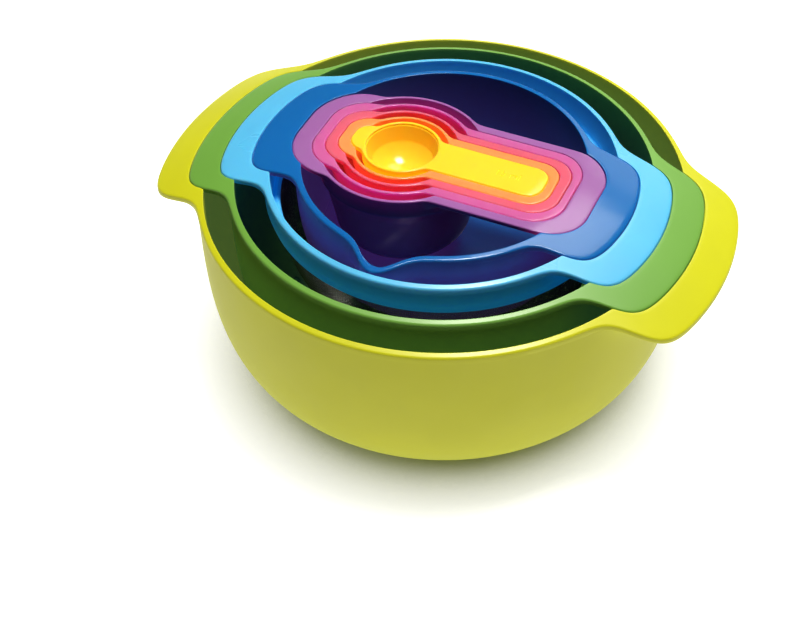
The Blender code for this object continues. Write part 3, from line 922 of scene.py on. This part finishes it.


def make_camera():
    """A long lens that looks down on the rim from the front right."""
    data = bpy.data.cameras.new("camera")
    data.sensor_width = SENSOR
    data.lens = LENS_PX * SENSOR / IMAGE_WIDTH
    data.shift_x = SHIFT_X
    data.clip_start = 0.05
    data.clip_end = 20.0
    camera = bpy.data.objects.new("camera", data)
    bpy.context.scene.collection.objects.link(camera)
    back = Vector((math.sin(AZIMUTH) * math.cos(ELEVATION),
                   -math.cos(AZIMUTH) * math.cos(ELEVATION), math.sin(ELEVATION)))
    right = Vector((math.cos(AZIMUTH), math.sin(AZIMUTH), 0.0))
    up = back.cross(right)
    look = Matrix((right, up, back)).transposed()
    roll = Matrix.Rotation(-ROLL, 3, "Z")
    aim = Vector((AIM_OFF[0], -AIM_OFF[1], -1.0)).normalized()
    swing = Vector((0, 0, -1)).rotation_difference(aim).to_matrix()
    turn = look @ roll @ swing.transposed()
    camera.matrix_world = Matrix.Translation(back * DISTANCE + Vector((0, 0, RIM_Z))) @ turn.to_4x4()
    bpy.context.scene.camera = camera


def area_light(name, place, target, size, power, colour):
    data = bpy.data.lights.new(name, "AREA")
    data.shape = "RECTANGLE"
    data.size, data.size_y = size
    data.energy = power
    data.color = colour
    light = bpy.data.objects.new(name, data)
    light.location = place
    light.rotation_euler = (Vector(target) - Vector(place)).to_track_quat("-Z", "Y").to_euler()
    bpy.context.scene.collection.objects.link(light)


def make_studio():
    """A white floor that shows the object's shadow, partly cast by the lamps and partly painted by its glow
    fading near the object; one soft overhead light and two windows.
    """
    floor = bpy.data.meshes.new("floor")
    half = FLOOR_HALF
    low = FLOOR_Z
    floor.from_pydata([(-half, -half, low), (half, -half, low), (half, half, low), (-half, half, low)],
                      [], [(0, 1, 2, 3)])
    obj = bpy.data.objects.new("studio_floor", floor)
    n = Nodes("floor_white")
    tone = n.mix(n.spread(n.noise(3, 2), 0, 1), (0.50, 0.50, 0.50), (0.53, 0.53, 0.53))
    n.join(tone, n.shader.inputs["Base Color"])
    n.shader.inputs["Emission Color"].default_value = (1, 1, 1, 1)
    # painted shadow: the floor's glow fades where the object is near
    near = n.add("ShaderNodeAmbientOcclusion", Distance=SHADOW_REACH)
    glow = n.spread(near.outputs["AO"], 0.0, FLOOR_GLOW, 0.22, 0.72)
    n.join(glow, n.shader.inputs["Emission Strength"])
    n.shader.inputs["Roughness"].default_value = 0.6
    floor.materials.append(n.material)
    bpy.context.scene.collection.objects.link(obj)
    world = bpy.data.worlds.new("studio")
    world.use_nodes = True
    world.node_tree.nodes["Background"].inputs["Color"].default_value = (1, 1, 1, 1)
    world.node_tree.nodes["Background"].inputs["Strength"].default_value = WORLD_LIGHT
    bpy.context.scene.world = world
    area_light("overhead", *OVERHEAD)
    area_light("window_upper", *WINDOW_UPPER)
    area_light("window_lower", *WINDOW_LOWER)
    bpy.context.scene.view_settings.view_transform = "Standard"
    bpy.context.scene.view_settings.look = "Medium High Contrast"


# ---- the set ------------------------------------------------------------------------------
def grown(key):
    """Outline of a bowl, which the recess of the vessel around it follows."""
    return lambda angles: bowl_outline(key, RADIUS[key] + FLANGE, angles)


def place(piece, body, node, slot):
    """Puts a finished piece on its body, in its CAD node's stead."""
    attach(piece, body)
    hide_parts(node)


def build():
    """Every visible piece, from the large bowl in to the spoon."""
    # the emission colours given below are painted glow in shaded gaps
    # the wall factors given below paint shade on the upright faces
    lime = plastic("lime_plastic_look", LIME, 0.34, 0.45, 0.1, painted_glow=(0.045, 0.070, 0.024), wall=0.86)
    green = plastic("green_plastic_look", GREEN, 0.38, 0.6, painted_glow=(0.0, 0.001, 0.010))
    sky = plastic("sky_plastic_look", SKY, 0.28, 0.5, 0.3, 4 * MM, painted_glow=(0.0, 0.050, 0.15))
    blue = plastic("blue_plastic_look", BLUE, 0.16, 0.5, 0.25, 5 * MM, painted_glow=(0.026, 0.010, 0.050), wall=0.65)
    place(bowl("large", 0, grown("colander"), lime, "large_bowl_moulding"),
          "large_bowl", "large_bowl_shell", "lime_plastic")
    place(bowl("colander", 1, grown("sieve"), green, "colander_moulding"),
          "colander", "colander_shell", "green_plastic")
    place(sieve_frame(sky), "sieve", "sieve_frame", "sky_plastic")
    place(sieve_weave(steel()), "sieve", "sieve_mesh", "steel_mesh")
    first_cup = CUPS["cup_250ml"]
    place(bowl("small", 3, lambda angles: cup_outline(first_cup, 0.0, angles, 0.0), blue,
               "small_bowl_moulding", bulge=True),
          "small_bowl", "small_bowl_shell", "blue_plastic")
    place(base_ring("large_bowl_base_ring", "large", grip("lime_grip_look", LIME_GRIP)),
          "large_bowl", "large_bowl_base_ring", "lime_grip")
    place(base_ring("small_bowl_base_ring", "small", grip("blue_grip_look", BLUE_GRIP)),
          "small_bowl", "small_bowl_base_ring", "blue_grip")
    for i, (node, body, word, colour, glow, depth, painted_glow) in enumerate(NEST):
        child = NEST[i + 1][0] if i + 1 < len(NEST) else None
        material = plastic(word + "_plastic_look", colour, 0.15, 0.4, glow, depth * MM,
                           painted_glow=painted_glow, reach=CUP_REACH, wall=PURPLE_UPRIGHT_SHADE if word == "purple" else 1.0)
        piece = cup(node, child, material, node + "_moulding")
        if not child:
            top = RIM_Z + CROWN + CUPS[node]["over"]
            engrave(piece, "15 ml", MARK_SIZE, (MARK_X, 0.0, top), MARK_DEPTH)
        place(piece, body, node, word + "_plastic")


make_camera()
make_studio()
build()
